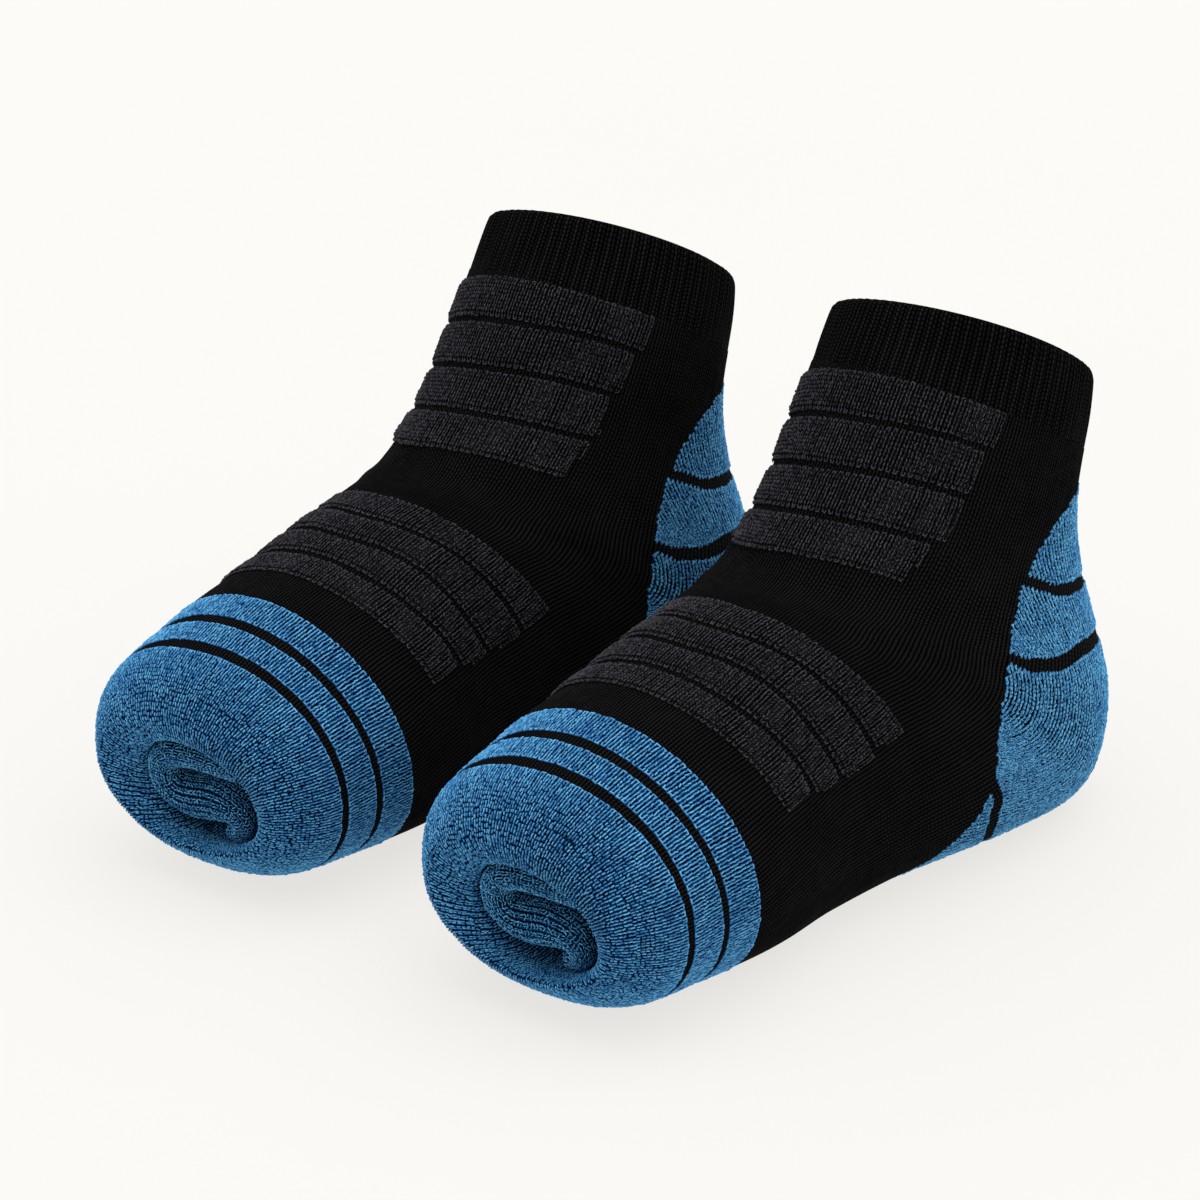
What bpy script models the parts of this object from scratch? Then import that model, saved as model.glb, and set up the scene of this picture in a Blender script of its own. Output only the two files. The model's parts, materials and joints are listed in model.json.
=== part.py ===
"""A pair of rolled socks: two quarter-height sports socks, filled out and hollow, standing on their soles.

Each sock is a row of cross-sections from the rim of the cuff to the turned-in toe. A section lies in the
plane through one point on the front (or top) and one on the back (or sole), so they fan round the ankle.
Sizes are in millimetres and turn into metres when a mesh is made. The toes point to -Y.
"""

from collections import namedtuple

import bpy
import numpy as np

MM = 0.001
COLLECTION = "rolled_socks"

# Walls and seams
KNIT_WALL = 1.9
TERRY_WALL = 2.2
WELT_WALL = 2.6
SEAM_GAP = 0.3

# Places along the sock, counted in rows of the table of sections
CUFF_SEAM = 1.44
TOE_SEAM = 12.32
MOUTH = 17.0
CUFF_SEAM_PITCH = 20.0  # millimetres from one row to the next there
TOE_SEAM_PITCH = 13.0

# The cuff: its rim has a rounded edge and leans sideways, higher at +X than at -X
RIM_LEAN = 2.6
RIM_ROUNDING = 1.3
RIBS = 70
RIB_RISE = 0.35  # how far a rib stands out, and how far the furrow beside it goes in
RIM_RIB_RISE = 0.1
CUFF_ROWS = ((0.0, -RIM_ROUNDING, RIM_RIB_RISE), (0.08, -0.35, RIB_RISE), (0.75, 0.0, RIB_RISE))
CUFF_INNER_PLACES = (0.0, 0.75)

# Raised terry bands
BAND_EDGE_RISE = 0.9
BAND_CREST_RISE = 1.4
BAND_STEP = 1.2  # from the middle of a groove to the band's edge, along the wall

# Rows of faces along the other pieces, as places along the sock
TUBE_PLAIN_PLACES = (3.8, 4.2, 4.6, 5.0, 5.5, 6.0, 6.6, 7.3, 8.1, 8.6, 11.85)
TUBE_INNER_PLACES = (2.0, 2.6, 3.2, 3.8, 4.4, 5.0, 5.6, 6.2, 7.0, 8.0, 9.0, 9.7, 10.4, 11.1, 11.8)
HEEL_PLACES = (1.55, 2.0, 2.5, 3.0, 3.5, 4.0, 4.4, 4.8, 5.2, 5.6, 6.0, 6.4, 6.8, 7.3, 8.2, 9.4)
HEEL_INNER_PLACES = (1.55, 2.2, 2.8, 3.4, 4.0, 4.5, 5.0, 5.5, 6.0, 6.5, 7.0, 8.0, 9.4)
TOE_PLACES = (12.9, 13.5, 14.0, 14.5, 15.0, 15.4, 15.8, 16.2, 16.6, 17.0, 17.5, 18.2, 19.0)
TOE_INNER_PLACES = (13.2, 14.0, 14.7, 15.3, 15.8, 16.3, 16.8, 17.5, 18.2, 19.0)

# Columns of faces round a sock
FRONT_COLUMNS = 8  # from the middle of the front to a panel's end, on each side
BACK_COLUMNS = 12  # from a panel's end to the middle of the back, on each side
INNER_COLUMNS = 22
FINE_STEPS = 180  # for measuring along the skin
HEEL_COLUMNS = 40
HEEL_INNER_COLUMNS = 26

# Where the two socks stand
HALF_SPACING = 56.0
TOE_IN = 0.9  # degrees that each sock turns, heels out
FOOT_MIDDLE = 100.0  # the turning point, forward of the heel

Section = namedtuple(
    "Section", "name top_forward top_height sole_forward sole_height half_width top_power sole_power"
)
SECTIONS = (
    Section("rim", 65.0, 141.9, 7.4, 108.1, 33.2, 2.0, 2.2),
    Section("cuff", 70.0, 133.5, 8.5, 99.5, 33.8, 2.0, 2.2),
    Section("shin", 81.3, 116.0, 12.5, 79.0, 34.5, 2.1, 2.2),
    Section("ankle", 96.3, 96.6, 6.5, 61.0, 35.0, 2.2, 2.2),
    Section("heel_back", 111.5, 83.3, -0.3, 44.0, 38.6, 2.2, 2.2),
    Section("heel_curve", 118.0, 81.6, -2.6, 24.5, 41.4, 2.2, 2.45),
    Section("heel_round", 120.5, 81.4, 4.2, 6.8, 42.4, 2.2, 2.7),
    Section("heel_base", 122.5, 81.4, 20.0, -1.0, 42.5, 2.2, 2.9),
    Section("heel_sole", 125.2, 81.4, 52.0, -1.0, 42.0, 2.1, 2.8),
    Section("arch", 129.8, 81.2, 86.5, -1.0, 37.8, 2.1, 2.5),
    Section("instep", 141.5, 79.0, 117.0, -1.0, 35.7, 2.2, 2.5),
    Section("ball", 157.0, 74.0, 139.0, -0.8, 38.1, 2.1, 2.4),
    Section("toe_back", 172.5, 70.7, 156.5, -0.4, 40.1, 2.0, 2.15),
    Section("toe_middle", 186.0, 66.8, 173.0, 1.2, 38.9, 2.0, 2.15),
    Section("toe_front", 198.5, 61.3, 191.8, 4.1, 37.4, 2.1, 2.25),
    Section("nose", 205.8, 55.2, 200.8, 8.4, 32.5, 2.1, 2.2),
    Section("lip", 209.3, 47.8, 205.2, 13.2, 26.6, 2.1, 2.1),
    Section("mouth", 207.0, 42.0, 195.2, 12.0, 18.4, 2.1, 2.1),
    Section("tunnel", 200.0, 44.8, 187.4, 12.6, 19.4, 2.1, 2.1),
    Section("tunnel_end", 193.5, 47.2, 181.3, 14.6, 19.0, 2.1, 2.1),
)

# A terry panel is a row of bands: the places of the grooves before, between and after them, and for
# each band half the turn that it covers, in degrees
Panel = namedtuple("Panel", "grooves half_turns")
PANELS = (
    Panel((1.47, 1.94, 2.58, 3.09, 3.46), (58.0, 54.0, 50.0, 43.0)),
    Panel((9.03, 9.63, 10.22, 10.82, 11.40), (70.0, 74.0, 74.0, 70.0)),
)

# The heel's edge in side view, from behind the leg, over the peak and down to the sole
EdgePoint = namedtuple("EdgePoint", "forward height")
HEEL_EDGE = (
    EdgePoint(-14.0, 86.0),
    EdgePoint(12.0, 88.0),
    EdgePoint(24.0, 89.2),
    EdgePoint(33.0, 89.0),
    EdgePoint(40.0, 87.2),
    EdgePoint(47.0, 83.8),
    EdgePoint(53.0, 79.8),
    EdgePoint(60.0, 74.0),
    EdgePoint(66.0, 67.5),
    EdgePoint(71.5, 60.0),
    EdgePoint(75.0, 52.0),
    EdgePoint(77.0, 42.0),
    EdgePoint(77.5, 30.0),
    EdgePoint(79.5, 21.0),
    EdgePoint(84.0, 12.0),
    EdgePoint(92.0, -0.5),
    EdgePoint(95.0, -6.0),
    EdgePoint(-14.0, -6.0),
)

CUTTER_HALF_WIDTH = 60.0

# The rolled toe end, in the plane of the mouth: across to +X, up to the top lip, and depth behind the lip
RollPoint = namedtuple("RollPoint", "across up depth half_thickness")
ROLL = (
    RollPoint(11.6, 6.6, 2.4, 2.5),
    RollPoint(5.0, 8.3, 1.3, 3.5),
    RollPoint(-2.0, 9.3, 0.4, 3.8),
    RollPoint(-8.4, 8.4, -0.4, 3.7),
    RollPoint(-12.2, 4.4, -1.1, 3.7),
    RollPoint(-12.4, -0.9, -1.7, 4.1),
    RollPoint(-8.9, -4.4, -2.1, 4.7),
    RollPoint(-3.2, -4.6, -2.3, 5.2),
    RollPoint(2.8, -3.5, -2.1, 5.1),
    RollPoint(8.0, -3.8, -1.8, 4.1),
    RollPoint(10.5, -7.1, -1.4, 3.2),
    RollPoint(9.0, -10.8, -1.1, 2.6),
    RollPoint(5.3, -12.3, -0.8, 2.2),
)
ROLL_DEPTH = 13.4
ROLL_STEPS = 2  # faces between two points of the path
# The ribbon's front edge is rounded: its share of the full thickness, and how many half thicknesses
# behind the front it has that
ROLL_EDGE = ((0.3, 0.04), (0.7, 0.23), (0.93, 0.5), (1.0, 0.8))

# The roll of each sock is the same path, moved and widened a little
Sock = namedtuple("Sock", "side across back yaw roll_across roll_drop roll_width")
SOCKS = (
    Sock("left", -HALF_SPACING, 1.9, TOE_IN, -0.6, 0.7, 1.01),
    Sock("right", HALF_SPACING, -1.9, -TOE_IN, 0.0, 0.0, 1.0),
)

Finish = namedtuple("Finish", "name color roughness")
BLACK_RIB = Finish("black_rib", (0.006, 0.006, 0.008), 0.92)
BLACK_KNIT = Finish("black_knit", (0.007, 0.007, 0.009), 0.9)
BLUE_TERRY = Finish("blue_terry", (0.06, 0.22, 0.48), 0.95)

SHARP_ANGLE = np.radians(50.0)

TABLE = np.array([section[1:] for section in SECTIONS])


def smooth_rows(rows, place):
    """Read a table at any place between its rows, along a smooth curve through them."""
    place = np.clip(place, 0.0, len(rows) - 1.0)
    row = np.minimum(place.astype(int), len(rows) - 2)
    step = (place - row)[..., None]
    first = 2 * rows[0] - rows[1]
    last = 2 * rows[-1] - rows[-2]
    padded = np.vstack((first, rows, last))
    a, b, c, d = (padded[row + k] for k in range(4))
    bend = 2 * a - 5 * b + 4 * c - d
    twist = 3 * (b - c) + d - a
    return b + 0.5 * step * (c - a + step * (bend + step * twist))


def skin(place, turn):
    """Points of the sock's outside. A turn of 0 is the middle of the front, 90 degrees the side at +X."""
    place, turn = np.broadcast_arrays(np.asarray(place, float), np.asarray(turn, float))
    top_f, top_z, sole_f, sole_z, half_width, top_power, sole_power = np.moveaxis(
        smooth_rows(TABLE, place), -1, 0
    )
    cosine, sine = np.cos(turn), np.sin(turn)
    power = np.where(cosine >= 0, top_power, sole_power)
    lift = np.sign(cosine) * np.abs(cosine) ** (2 / power)
    side = half_width * np.sign(sine) * np.abs(sine) ** (2 / power)
    forward = (top_f + sole_f + (top_f - sole_f) * lift) / 2
    height = (top_z + sole_z + (top_z - sole_z) * lift) / 2
    height = height + RIM_LEAN * np.sin(turn) * np.clip(1 - place, 0, 1) ** 2
    return np.stack((side, FOOT_MIDDLE - forward, np.maximum(height, 0.0)), axis=-1)


def outward(place, turn):
    """Unit normals of the outside."""
    nudge = 0.002  # rows, and radians
    down = skin(place + nudge, turn) - skin(place - nudge, turn)
    around = skin(place, turn + nudge) - skin(place, turn - nudge)
    normal = np.cross(down, around)
    return normal / np.linalg.norm(normal, axis=-1, keepdims=True)


def moved_out(place, turn, distance):
    """Points a distance outside the skin, or inside it where that is negative, never under the sole."""
    points = skin(place, turn) + outward(place, turn) * np.asarray(distance)[..., None]
    floor = np.maximum(-np.asarray(distance), 0.0)
    points[..., 2] = np.maximum(points[..., 2], floor)
    return points


def even_turns(place, start, end, count):
    """Turns from start to end, evenly spaced along the skin, with the start and without the end."""
    fine = np.linspace(start, end, FINE_STEPS + 1)
    points = skin(np.full_like(fine, place), fine)
    length = np.append(0.0, np.cumsum(np.linalg.norm(np.diff(points, axis=0), axis=1)))
    return np.interp(np.linspace(0.0, length[-1], count, endpoint=False), length, fine)


def ring_radius(place):
    return smooth_rows(TABLE, np.array([place]))[0, 4]


def band_middles(panel):
    grooves = np.array(panel.grooves)
    return (grooves[1:] + grooves[:-1]) / 2


def panel_turn(place):
    """Half the turn that a terry panel covers at a place, read between its bands."""
    middles = np.concatenate([band_middles(panel) for panel in PANELS])
    half_turns = np.concatenate([panel.half_turns for panel in PANELS])
    return np.radians(np.interp(place, middles, half_turns))


def tube_turns(place):
    """Turns of the tube's columns, with a close pair of them on each side at the end of the terry panel."""
    edge = panel_turn(place)
    foot = edge + BAND_STEP / ring_radius(place)
    front = even_turns(place, 0.0, edge, FRONT_COLUMNS)
    back = even_turns(place, foot, np.pi, BACK_COLUMNS)
    half = np.concatenate((front, [edge], back, [np.pi]))
    return np.concatenate((half, 2 * np.pi - half[-2:0:-1]))


def panel_rows(panel):
    """Places of a panel's rows and how far each stands out: grooves, and each band's edges and crest."""
    grooves = np.array(panel.grooves)
    rows = [(place, 0.0) for place in grooves]
    for start, end in zip(grooves, grooves[1:]):
        top_line = smooth_rows(TABLE, np.array([start, end]))[:, :2]
        step = BAND_STEP * (end - start) / np.linalg.norm(top_line[1] - top_line[0])
        rows += [(start + step, BAND_EDGE_RISE), (end - step, BAND_EDGE_RISE)]
        rows.append(((start + end) / 2, BAND_CREST_RISE))
    return rows


def make_object(name, points, faces, finish, smooth=True):
    """A mesh object in metres with its own material."""
    mesh = bpy.data.meshes.new(name)
    mesh.from_pydata((np.asarray(points) * MM).tolist(), [], faces)
    mesh.validate()
    if smooth:
        mesh.shade_smooth()
        mesh.set_sharp_from_angle(angle=SHARP_ANGLE)
    material = bpy.data.materials.new(name)
    material.use_nodes = True
    shader = material.node_tree.nodes["Principled BSDF"]
    shader.inputs["Base Color"].default_value = (*finish.color, 1.0)
    shader.inputs["Roughness"].default_value = finish.roughness
    shader.inputs["Metallic"].default_value = 0.0
    mesh.materials.append(material)
    return bpy.data.objects.new(name, mesh)


def strips(first, count, rings, flip):
    """Quads between rings of equal count that follow each other in the list of points."""
    faces = []
    for ring in range(rings - 1):
        for column in range(count):
            beside = (column + 1) % count
            near = first + ring * count
            far = near + count
            quad = (near + column, near + beside, far + beside, far + column)
            faces.append(quad[::-1] if flip else quad)
    return faces


def edge_band(outer_first, outer_count, inner_first, inner_count, flip):
    """Triangles across a wall's edge, between an outer and an inner ring of unlike counts."""
    faces = []
    outer = inner = 0
    while outer < outer_count or inner < inner_count:
        here = outer_first + outer % outer_count
        there = inner_first + inner % inner_count
        if (outer + 0.5) * inner_count <= (inner + 0.5) * outer_count and outer < outer_count:
            outer += 1
            triangle = (here, outer_first + outer % outer_count, there)
        else:
            inner += 1
            triangle = (here, inner_first + inner % inner_count, there)
        faces.append(triangle[::-1] if flip else triangle)
    return faces


def wall(name, outer_rings, inner_rings, finish, closed_end=False):
    """A closed wall between an outer and an inner stack of rings, open at both ends or closed at the far."""
    outer_count, inner_count = len(outer_rings[0]), len(inner_rings[0])
    inner_first = len(outer_rings) * outer_count
    points = np.concatenate([*outer_rings, *inner_rings])
    faces = strips(0, outer_count, len(outer_rings), True)
    faces += strips(inner_first, inner_count, len(inner_rings), False)
    faces += edge_band(0, outer_count, inner_first, inner_count, False)
    outer_last = inner_first - outer_count
    inner_last = len(points) - inner_count
    if closed_end:
        middles = (outer_rings[-1].mean(axis=0), inner_rings[-1].mean(axis=0))
        outer_tip = len(points)
        points = np.vstack((points, *middles))
        for column in range(outer_count):
            beside = (column + 1) % outer_count
            faces.append((outer_last + beside, outer_last + column, outer_tip))
        for column in range(inner_count):
            beside = (column + 1) % inner_count
            faces.append((inner_last + column, inner_last + beside, outer_tip + 1))
    else:
        faces += edge_band(outer_last, outer_count, inner_last, inner_count, True)
    return make_object(name, points, faces, finish)


def inner_stack(places, thickness, count=INNER_COLUMNS):
    """Plain rings on the inside of a wall."""
    rings = []
    for place in places:
        turns = even_turns(place, 0.0, 2 * np.pi, count)
        rings.append(moved_out(np.full(count, place), turns, np.full(count, -thickness)))
    return rings


def make_cuff(side):
    """The ribbed welt: ribs raised on the outside, plain inside, with a rounded rim."""
    columns = 2 * RIBS
    last = CUFF_SEAM - SEAM_GAP / 2 / CUFF_SEAM_PITCH
    rib_or_furrow = np.where(np.arange(columns) % 2 == 0, 1.0, -1.0)
    rings = []
    for place, rise, rib_rise in (*CUFF_ROWS, (last, 0.0, RIB_RISE)):
        turns = even_turns(place, 0.0, 2 * np.pi, columns)
        rings.append(moved_out(np.full(columns, place), turns, rise + rib_rise * rib_or_furrow))
    inside = inner_stack((*CUFF_INNER_PLACES, last), WELT_WALL, RIBS // 2)
    return wall(f"{side}_cuff", rings, inside, BLACK_RIB)


def make_leg_foot(side):
    """The plain knit tube, with the terry bands raised on its outside."""
    first = CUFF_SEAM + SEAM_GAP / 2 / CUFF_SEAM_PITCH
    last = TOE_SEAM - SEAM_GAP / 2 / TOE_SEAM_PITCH
    rows = [(first, 0.0)]
    for panel in PANELS:
        rows += panel_rows(panel)
    rows += [(place, 0.0) for place in (*TUBE_PLAIN_PLACES, last)]
    rings = []
    for place, rise in sorted(rows):
        turns = tube_turns(place)
        columns = np.arange(len(turns))
        on_panel = np.minimum(columns, len(turns) - columns) <= FRONT_COLUMNS
        rings.append(moved_out(np.full(len(turns), place), turns, np.where(on_panel, rise, 0.0)))
    inside = inner_stack((first, *TUBE_INNER_PLACES, last), KNIT_WALL)
    return wall(f"{side}_leg_foot", rings, inside, BLACK_KNIT)


def make_heel(side):
    """The terry pocket before it is cut to its edge: a stretch of tube round the heel."""
    rings = []
    for place in HEEL_PLACES:
        turns = even_turns(place, 0.0, 2 * np.pi, HEEL_COLUMNS)
        rings.append(moved_out(np.full(HEEL_COLUMNS, place), turns, np.zeros(HEEL_COLUMNS)))
    inside = inner_stack(HEEL_INNER_PLACES, TERRY_WALL, HEEL_INNER_COLUMNS)
    return wall(f"{side}_heel", rings, inside, BLUE_TERRY)


def make_toe(side):
    """The toe pocket: its wall runs to the lip, turns in at the mouth and closes the tunnel behind it."""
    first = TOE_SEAM + SEAM_GAP / 2 / TOE_SEAM_PITCH
    seam_turns = tube_turns(TOE_SEAM)
    columns = len(seam_turns)
    rings = []
    for place in (first, *TOE_PLACES):
        turns = seam_turns if place == first else even_turns(place, 0.0, 2 * np.pi, columns)
        rings.append(moved_out(np.full(columns, place), turns, np.zeros(columns)))
    inside = inner_stack((first, *TOE_INNER_PLACES), TERRY_WALL)
    return wall(f"{side}_toe", rings, inside, BLUE_TERRY, closed_end=True)


def make_roll(sock):
    """The doubled fold of terry in the mouth: a ribbon along the roll's path, with a rounded front edge."""
    top_f, top_z, sole_f, sole_z = TABLE[int(MOUTH), :4]
    centre = np.array((0.0, FOOT_MIDDLE - (top_f + sole_f) / 2, (top_z + sole_z) / 2))
    up = np.array((0.0, sole_f - top_f, top_z - sole_z))
    up /= np.linalg.norm(up)
    across = np.array((1.0, 0.0, 0.0))
    inward = np.cross(up, across)
    rows = np.array(ROLL)
    place = np.linspace(0.0, len(ROLL) - 1.0, (len(ROLL) - 1) * ROLL_STEPS + 1)
    path = smooth_rows(rows, place)
    along = smooth_rows(rows, place + 0.01)[:, :2] - smooth_rows(rows, place - 0.01)[:, :2]
    along /= np.linalg.norm(along, axis=1, keepdims=True)
    beside = np.stack((-along[:, 1], along[:, 0]), axis=1)
    rings = []
    for swell, behind in (*ROLL_EDGE, (1.0, None)):
        half = path[:, 3:] * swell
        left = path[:, :2] + beside * half
        right = path[:, :2] - beside * half
        start = path[:1, :2] - along[:1] * half[:1]
        end = path[-1:, :2] + along[-1:] * half[-1:]
        flat = np.concatenate((start, left, end, right[::-1]))
        depths = np.full(len(path), ROLL_DEPTH) if behind is None else path[:, 2] + behind * path[:, 3]
        depth = np.concatenate((depths[:1], depths, depths[-1:], depths[::-1]))
        flat = flat * (sock.roll_width, 1.0) + (sock.roll_across, -sock.roll_drop)
        rings.append(centre + flat[:, :1] * across + flat[:, 1:] * up + depth[:, None] * inward)
    count = len(rings[0])
    steps = len(path)
    faces = strips(0, count, len(rings), False)
    for first, flip in ((0, True), ((len(rings) - 1) * count, False)):
        cap = [(first, first + 1, first + count - 1)]
        for step in range(1, steps):
            cap.append((first + step, first + step + 1, first + count - step - 1, first + count - step))
        cap.append((first + steps, first + steps + 1, first + steps + 2))
        faces += [face[::-1] if flip else face for face in cap]
    return make_object(f"{sock.side}_toe_roll", np.concatenate(rings), faces, BLUE_TERRY)


def inset_edge(inset):
    """The heel's edge as points in side view, moved in by an inset along the average of its two normals."""
    points = np.array(HEEL_EDGE)
    ahead = np.roll(points, -1, axis=0) - points
    ahead /= np.linalg.norm(ahead, axis=1, keepdims=True)
    behind = np.roll(ahead, 1, axis=0)
    normals = np.stack((ahead[:, 1] + behind[:, 1], -ahead[:, 0] - behind[:, 0]), axis=1)
    normals /= np.linalg.norm(normals, axis=1, keepdims=True)
    return points + normals * inset


def make_cutter(name, inset):
    """A slab through the whole width of the sock with the heel's edge as its outline."""
    outline = inset_edge(inset)
    count = len(outline)
    points = []
    for side in (-CUTTER_HALF_WIDTH, CUTTER_HALF_WIDTH):
        points += [(side, FOOT_MIDDLE - forward, height) for forward, height in outline]
    faces = [tuple(range(count - 1, -1, -1)), tuple(range(count, 2 * count))]
    for corner in range(count):
        beside = (corner + 1) % count
        faces.append((corner, beside, beside + count, corner + count))
    cutter = make_object(name, points, faces, BLACK_KNIT, smooth=False)
    cutter.hide_render = True
    cutter.display_type = "WIRE"
    return cutter


def cut(piece, cutter, operation):
    modifier = piece.modifiers.new("heel_edge", "BOOLEAN")
    modifier.operation = operation
    modifier.solver = "EXACT"
    modifier.object = cutter


def make_sock(sock, parts, cutters, pair):
    """All pieces of one sock, turned and placed beside the other."""
    leg_foot = make_leg_foot(sock.side)
    heel = make_heel(sock.side)
    pieces = (make_cuff(sock.side), leg_foot, heel, make_toe(sock.side), make_roll(sock))
    hole = make_cutter(f"{sock.side}_heel_hole", -SEAM_GAP / 2)
    patch = make_cutter(f"{sock.side}_heel_patch", SEAM_GAP / 2)
    cut(leg_foot, hole, "DIFFERENCE")
    cut(heel, patch, "INTERSECT")
    for item in pieces:
        parts.objects.link(item)
    for item in (hole, patch):
        cutters.objects.link(item)
    for item in (*pieces, hole, patch):
        item.parent = pair
        item.location = (sock.across * MM, sock.back * MM, 0.0)
        item.rotation_euler = (0.0, 0.0, np.radians(sock.yaw))
    return pieces


def centre_pair(pair, pieces):
    """Move the pair so that the middle of its footprint is at the origin."""
    bpy.context.view_layer.update()
    corners = []
    for piece in pieces:
        corners += [piece.matrix_world @ vertex.co for vertex in piece.data.vertices]
    corners = np.array(corners)
    middle = (corners.min(axis=0) + corners.max(axis=0)) / 2
    pair.location = (-middle[0], -middle[1], 0.0)


def main():
    for item in list(bpy.data.objects):
        bpy.data.objects.remove(item, do_unlink=True)
    parts = bpy.data.collections.new(COLLECTION)
    cutters = bpy.data.collections.new("cutters")
    for collection in (parts, cutters):
        bpy.context.scene.collection.children.link(collection)
    pair = bpy.data.objects.new("pair", None)
    parts.objects.link(pair)
    pieces = []
    for sock in SOCKS:
        pieces += make_sock(sock, parts, cutters, pair)
    centre_pair(pair, pieces)


main()
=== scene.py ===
import json
from collections import namedtuple

import bpy
import numpy as np
from mathutils import Matrix, Vector

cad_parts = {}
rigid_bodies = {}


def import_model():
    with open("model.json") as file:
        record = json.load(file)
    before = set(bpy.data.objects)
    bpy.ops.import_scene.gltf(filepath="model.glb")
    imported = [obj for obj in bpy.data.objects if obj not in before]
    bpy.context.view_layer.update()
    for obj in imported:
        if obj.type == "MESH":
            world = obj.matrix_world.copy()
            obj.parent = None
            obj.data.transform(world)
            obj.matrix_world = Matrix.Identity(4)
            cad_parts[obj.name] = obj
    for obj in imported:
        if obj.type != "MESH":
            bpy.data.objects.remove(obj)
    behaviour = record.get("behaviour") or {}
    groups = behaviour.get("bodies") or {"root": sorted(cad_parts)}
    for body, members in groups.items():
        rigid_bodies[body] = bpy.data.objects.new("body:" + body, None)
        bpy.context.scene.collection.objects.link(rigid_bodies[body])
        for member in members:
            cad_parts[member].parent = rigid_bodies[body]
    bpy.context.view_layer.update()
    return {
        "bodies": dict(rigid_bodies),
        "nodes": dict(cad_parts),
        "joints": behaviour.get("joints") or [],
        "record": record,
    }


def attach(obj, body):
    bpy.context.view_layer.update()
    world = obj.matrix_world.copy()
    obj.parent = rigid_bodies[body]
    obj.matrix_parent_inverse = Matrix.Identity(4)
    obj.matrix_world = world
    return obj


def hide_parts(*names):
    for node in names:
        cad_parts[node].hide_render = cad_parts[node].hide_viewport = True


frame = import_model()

# ---------------------------------------------------------------------------------------------------
# Ribbed cuffs. Each sock starts with a doubled welt of black rib, about 19 mm high: seventy ribs of
# three stitches round the ankle, turned over at the rim and linked to the leg at its foot.
# Sizes are in millimetres of one sock, and turn into the pair's metres when a mesh is made.

# The form of a sock: sections from the rim to the tunnel of the turned-in toe. Each lies in the plane
# through a point on the front or top and one on the back or sole.
Section = namedtuple(
    "Section", "top_forward top_height sole_forward sole_height half_width top_power sole_power"
)
SECTIONS = (
    Section(65.0, 141.9, 7.4, 108.1, 33.2, 2.0, 2.2),
    Section(70.0, 133.5, 8.5, 99.5, 33.8, 2.0, 2.2),
    Section(81.3, 116.0, 12.5, 79.0, 34.5, 2.1, 2.2),
    Section(96.3, 96.6, 6.5, 61.0, 35.0, 2.2, 2.2),
    Section(111.5, 83.3, -0.3, 44.0, 38.6, 2.2, 2.2),
    Section(118.0, 81.6, -2.6, 24.5, 41.4, 2.2, 2.45),
    Section(120.5, 81.4, 4.2, 6.8, 42.4, 2.2, 2.7),
    Section(122.5, 81.4, 20.0, -1.0, 42.5, 2.2, 2.9),
    Section(125.2, 81.4, 52.0, -1.0, 42.0, 2.1, 2.8),
    Section(129.8, 81.2, 86.5, -1.0, 37.8, 2.1, 2.5),
    Section(141.5, 79.0, 117.0, -1.0, 35.7, 2.2, 2.5),
    Section(157.0, 74.0, 139.0, -0.8, 38.1, 2.1, 2.4),
    Section(172.5, 70.7, 156.5, -0.4, 40.1, 2.0, 2.15),
    Section(186.0, 66.8, 173.0, 1.2, 38.9, 2.0, 2.15),
    Section(198.5, 61.3, 191.8, 4.1, 37.4, 2.1, 2.25),
    Section(205.8, 55.2, 200.8, 8.4, 32.5, 2.1, 2.2),
    Section(209.3, 47.8, 205.2, 13.2, 26.6, 2.1, 2.1),
    Section(207.0, 42.0, 195.2, 12.0, 18.4, 2.1, 2.1),
    Section(200.0, 44.8, 187.4, 12.6, 19.4, 2.1, 2.1),
    Section(193.5, 47.2, 181.3, 14.6, 19.0, 2.1, 2.1),
)
FORM = np.array(SECTIONS)
RIM_LEAN = 2.6  # the rim is higher at +X, and lower across from there
FOOT_MIDDLE = 100.0
CUFF_SEAM = 1.44  # places count the rows of the table

# Where the socks stand in the pair. end_turns gives, for each terry band down the ankle and then
# along the forefoot, the turn where it ends at its upper and its lower edge.
Sock = namedtuple("Sock", "side across back yaw seed roll_across roll_drop roll_width end_turns")
SOCKS = (
    Sock("left", -56.0, 1.9, 0.9, 11, -0.6, 0.7, 1.01,
         (((61, 59), (56, 54), (52, 50), (49, 42)), ((68, 72), (74, 74), (75, 71), (70, 67)))),
    Sock("right", 56.0, -1.9, -0.9, 23, 0.0, 0.0, 1.0,
         (((57, 55), (53, 51), (50, 48), (45, 37)), ((70, 73), (76, 77), (77, 74), (71, 69)))),
)
PAIR_BACK = 3.2624
MM = 0.001


def smooth_rows(rows, place):
    """Read a table at any place between its rows, along a smooth curve through them."""
    place = np.clip(place, 0.0, len(rows) - 1.0)
    row = np.minimum(place.astype(int), len(rows) - 2)
    step = (place - row)[..., None]
    padded = np.vstack((2 * rows[0] - rows[1], rows, 2 * rows[-1] - rows[-2]))
    a, b, c, d = (padded[row + k] for k in range(4))
    return b + 0.5 * step * (c - a + step * (2 * a - 5 * b + 4 * c - d + step * (3 * (b - c) + d - a)))


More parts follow.
